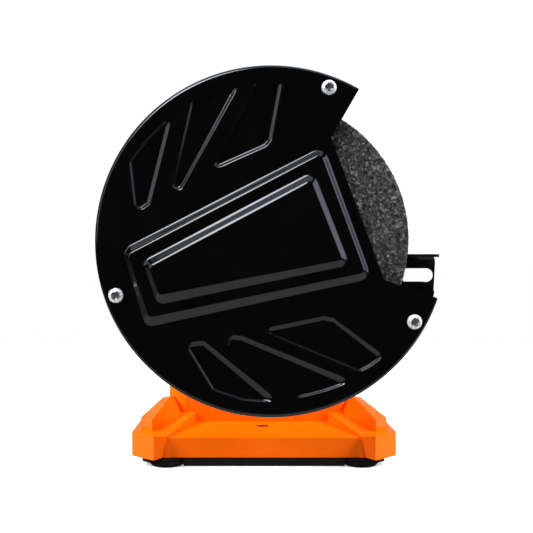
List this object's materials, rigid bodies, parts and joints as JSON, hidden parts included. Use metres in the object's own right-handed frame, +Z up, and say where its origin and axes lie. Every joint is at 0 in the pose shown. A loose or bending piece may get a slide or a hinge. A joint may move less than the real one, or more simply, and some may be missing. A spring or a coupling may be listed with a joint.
{
  "type": "bench grinder",
  "caption": "Double-ended bench grinder: round pressed guards with a front work opening, abrasive wheels on one spindle, sliding tool rests, and a ribbed cast base on rubber feet.",
  "frame": {"origin": "centre of the base at floor level, directly below the spindle, halfway between the two wheels", "axes": "+X towards the operator, where the work openings and tool rests are; +Y along the spindle, from the left wheel to the right wheel; +Z up"},
  "size_m": [0.2447, 0.416, 0.2995],
  "materials": {
    "orange_paint": "satin-gloss orange enamel on a casting",
    "gloss_black_paint": "high-gloss black enamel on pressed sheet steel",
    "satin_black_paint": "satin black paint",
    "zinc_plate": "bright zinc plating",
    "bare_steel": "turned steel",
    "laminated_steel": "varnished laminations",
    "copper_wire": "varnished copper wire",
    "abrasive": "coarse dark grey bonded abrasive",
    "rubber": "matt black rubber",
    "black_plastic": "fine-textured black moulding",
    "red_plastic": "gloss red moulding"
  },
  "bodies": {
    "root": {"base_casting": "orange_paint", "bottom_cover": "satin_black_paint", "capacitor": "black_plastic", "cord_gland": "black_plastic", "foot_bl": "rubber", "foot_br": "rubber", "foot_fl": "rubber", "foot_fr": "rubber", "left_bearing_outer": "bare_steel", "left_cover_screw_1": "zinc_plate", "left_cover_screw_2": "zinc_plate", "left_cover_screw_3": "zinc_plate", "left_end_bell": "satin_black_paint", "left_guard_back": "gloss_black_paint", "left_guard_bolt_1": "zinc_plate", "left_guard_bolt_2": "zinc_plate", "left_guard_bolt_3": "zinc_plate", "left_guard_cover": "gloss_black_paint", "left_guard_rim": "gloss_black_paint", "motor_housing": "orange_paint", "right_bearing_outer": "bare_steel", "right_cover_screw_1": "zinc_plate", "right_cover_screw_2": "zinc_plate", "right_cover_screw_3": "zinc_plate", "right_end_bell": "satin_black_paint", "right_guard_back": "gloss_black_paint", "right_guard_bolt_1": "zinc_plate", "right_guard_bolt_2": "zinc_plate", "right_guard_bolt_3": "zinc_plate", "right_guard_cover": "gloss_black_paint", "right_guard_rim": "gloss_black_paint", "saddle_bolt_1": "zinc_plate", "saddle_bolt_2": "zinc_plate", "stator_core": "laminated_steel", "stator_windings": "copper_wire", "switch_housing": "black_plastic", "tie_bolt_1": "zinc_plate", "tie_bolt_2": "zinc_plate", "tie_bolt_3": "zinc_plate", "tie_bolt_4": "zinc_plate"},
    "spindle_set": {"left_bearing_balls": "bare_steel", "left_bearing_inner": "bare_steel", "left_inner_flange": "bare_steel", "left_outer_flange": "bare_steel", "left_wheel": "abrasive", "left_wheel_nut": "zinc_plate", "right_bearing_balls": "bare_steel", "right_bearing_inner": "bare_steel", "right_inner_flange": "bare_steel", "right_outer_flange": "bare_steel", "right_wheel": "abrasive", "right_wheel_nut": "zinc_plate", "rotor_core": "laminated_steel", "spindle": "bare_steel"},
    "left_rest": {"left_tool_rest": "satin_black_paint"},
    "right_rest": {"right_tool_rest": "satin_black_paint"},
    "left_knob": {"left_rest_knob": "black_plastic"},
    "right_knob": {"right_rest_knob": "black_plastic"},
    "rocker": {"switch_rocker": "red_plastic"}
  },
  "joints": [
    {"name": "spindle_spin", "type": "hinge", "parent": "root", "child": "spindle_set", "pos_m": [0, 0, 0.179], "axis": [0, 1, 0], "continuous": true},
    {"name": "left_rest_slide", "type": "slide", "parent": "root", "child": "left_rest", "axis": [1, 0, 0], "range_m": [-0.0015, 0.012]},
    {"name": "left_knob_turn", "type": "hinge", "parent": "root", "child": "left_knob", "pos_m": [0.088, -0.145, 0.1528], "axis": [0, 1, 0], "range_deg": [-360, 0]},
    {"name": "right_rest_slide", "type": "slide", "parent": "root", "child": "right_rest", "axis": [1, 0, 0], "range_m": [-0.0015, 0.012]},
    {"name": "right_knob_turn", "type": "hinge", "parent": "root", "child": "right_knob", "pos_m": [0.088, 0.145, 0.1528], "axis": [0, 1, 0], "range_deg": [0, 360]},
    {"name": "rocker_tilt", "type": "hinge", "parent": "root", "child": "rocker", "pos_m": [0.077, 0, 0.066], "axis": [0, -1, 0], "range_deg": [0, 16]}
  ]
}
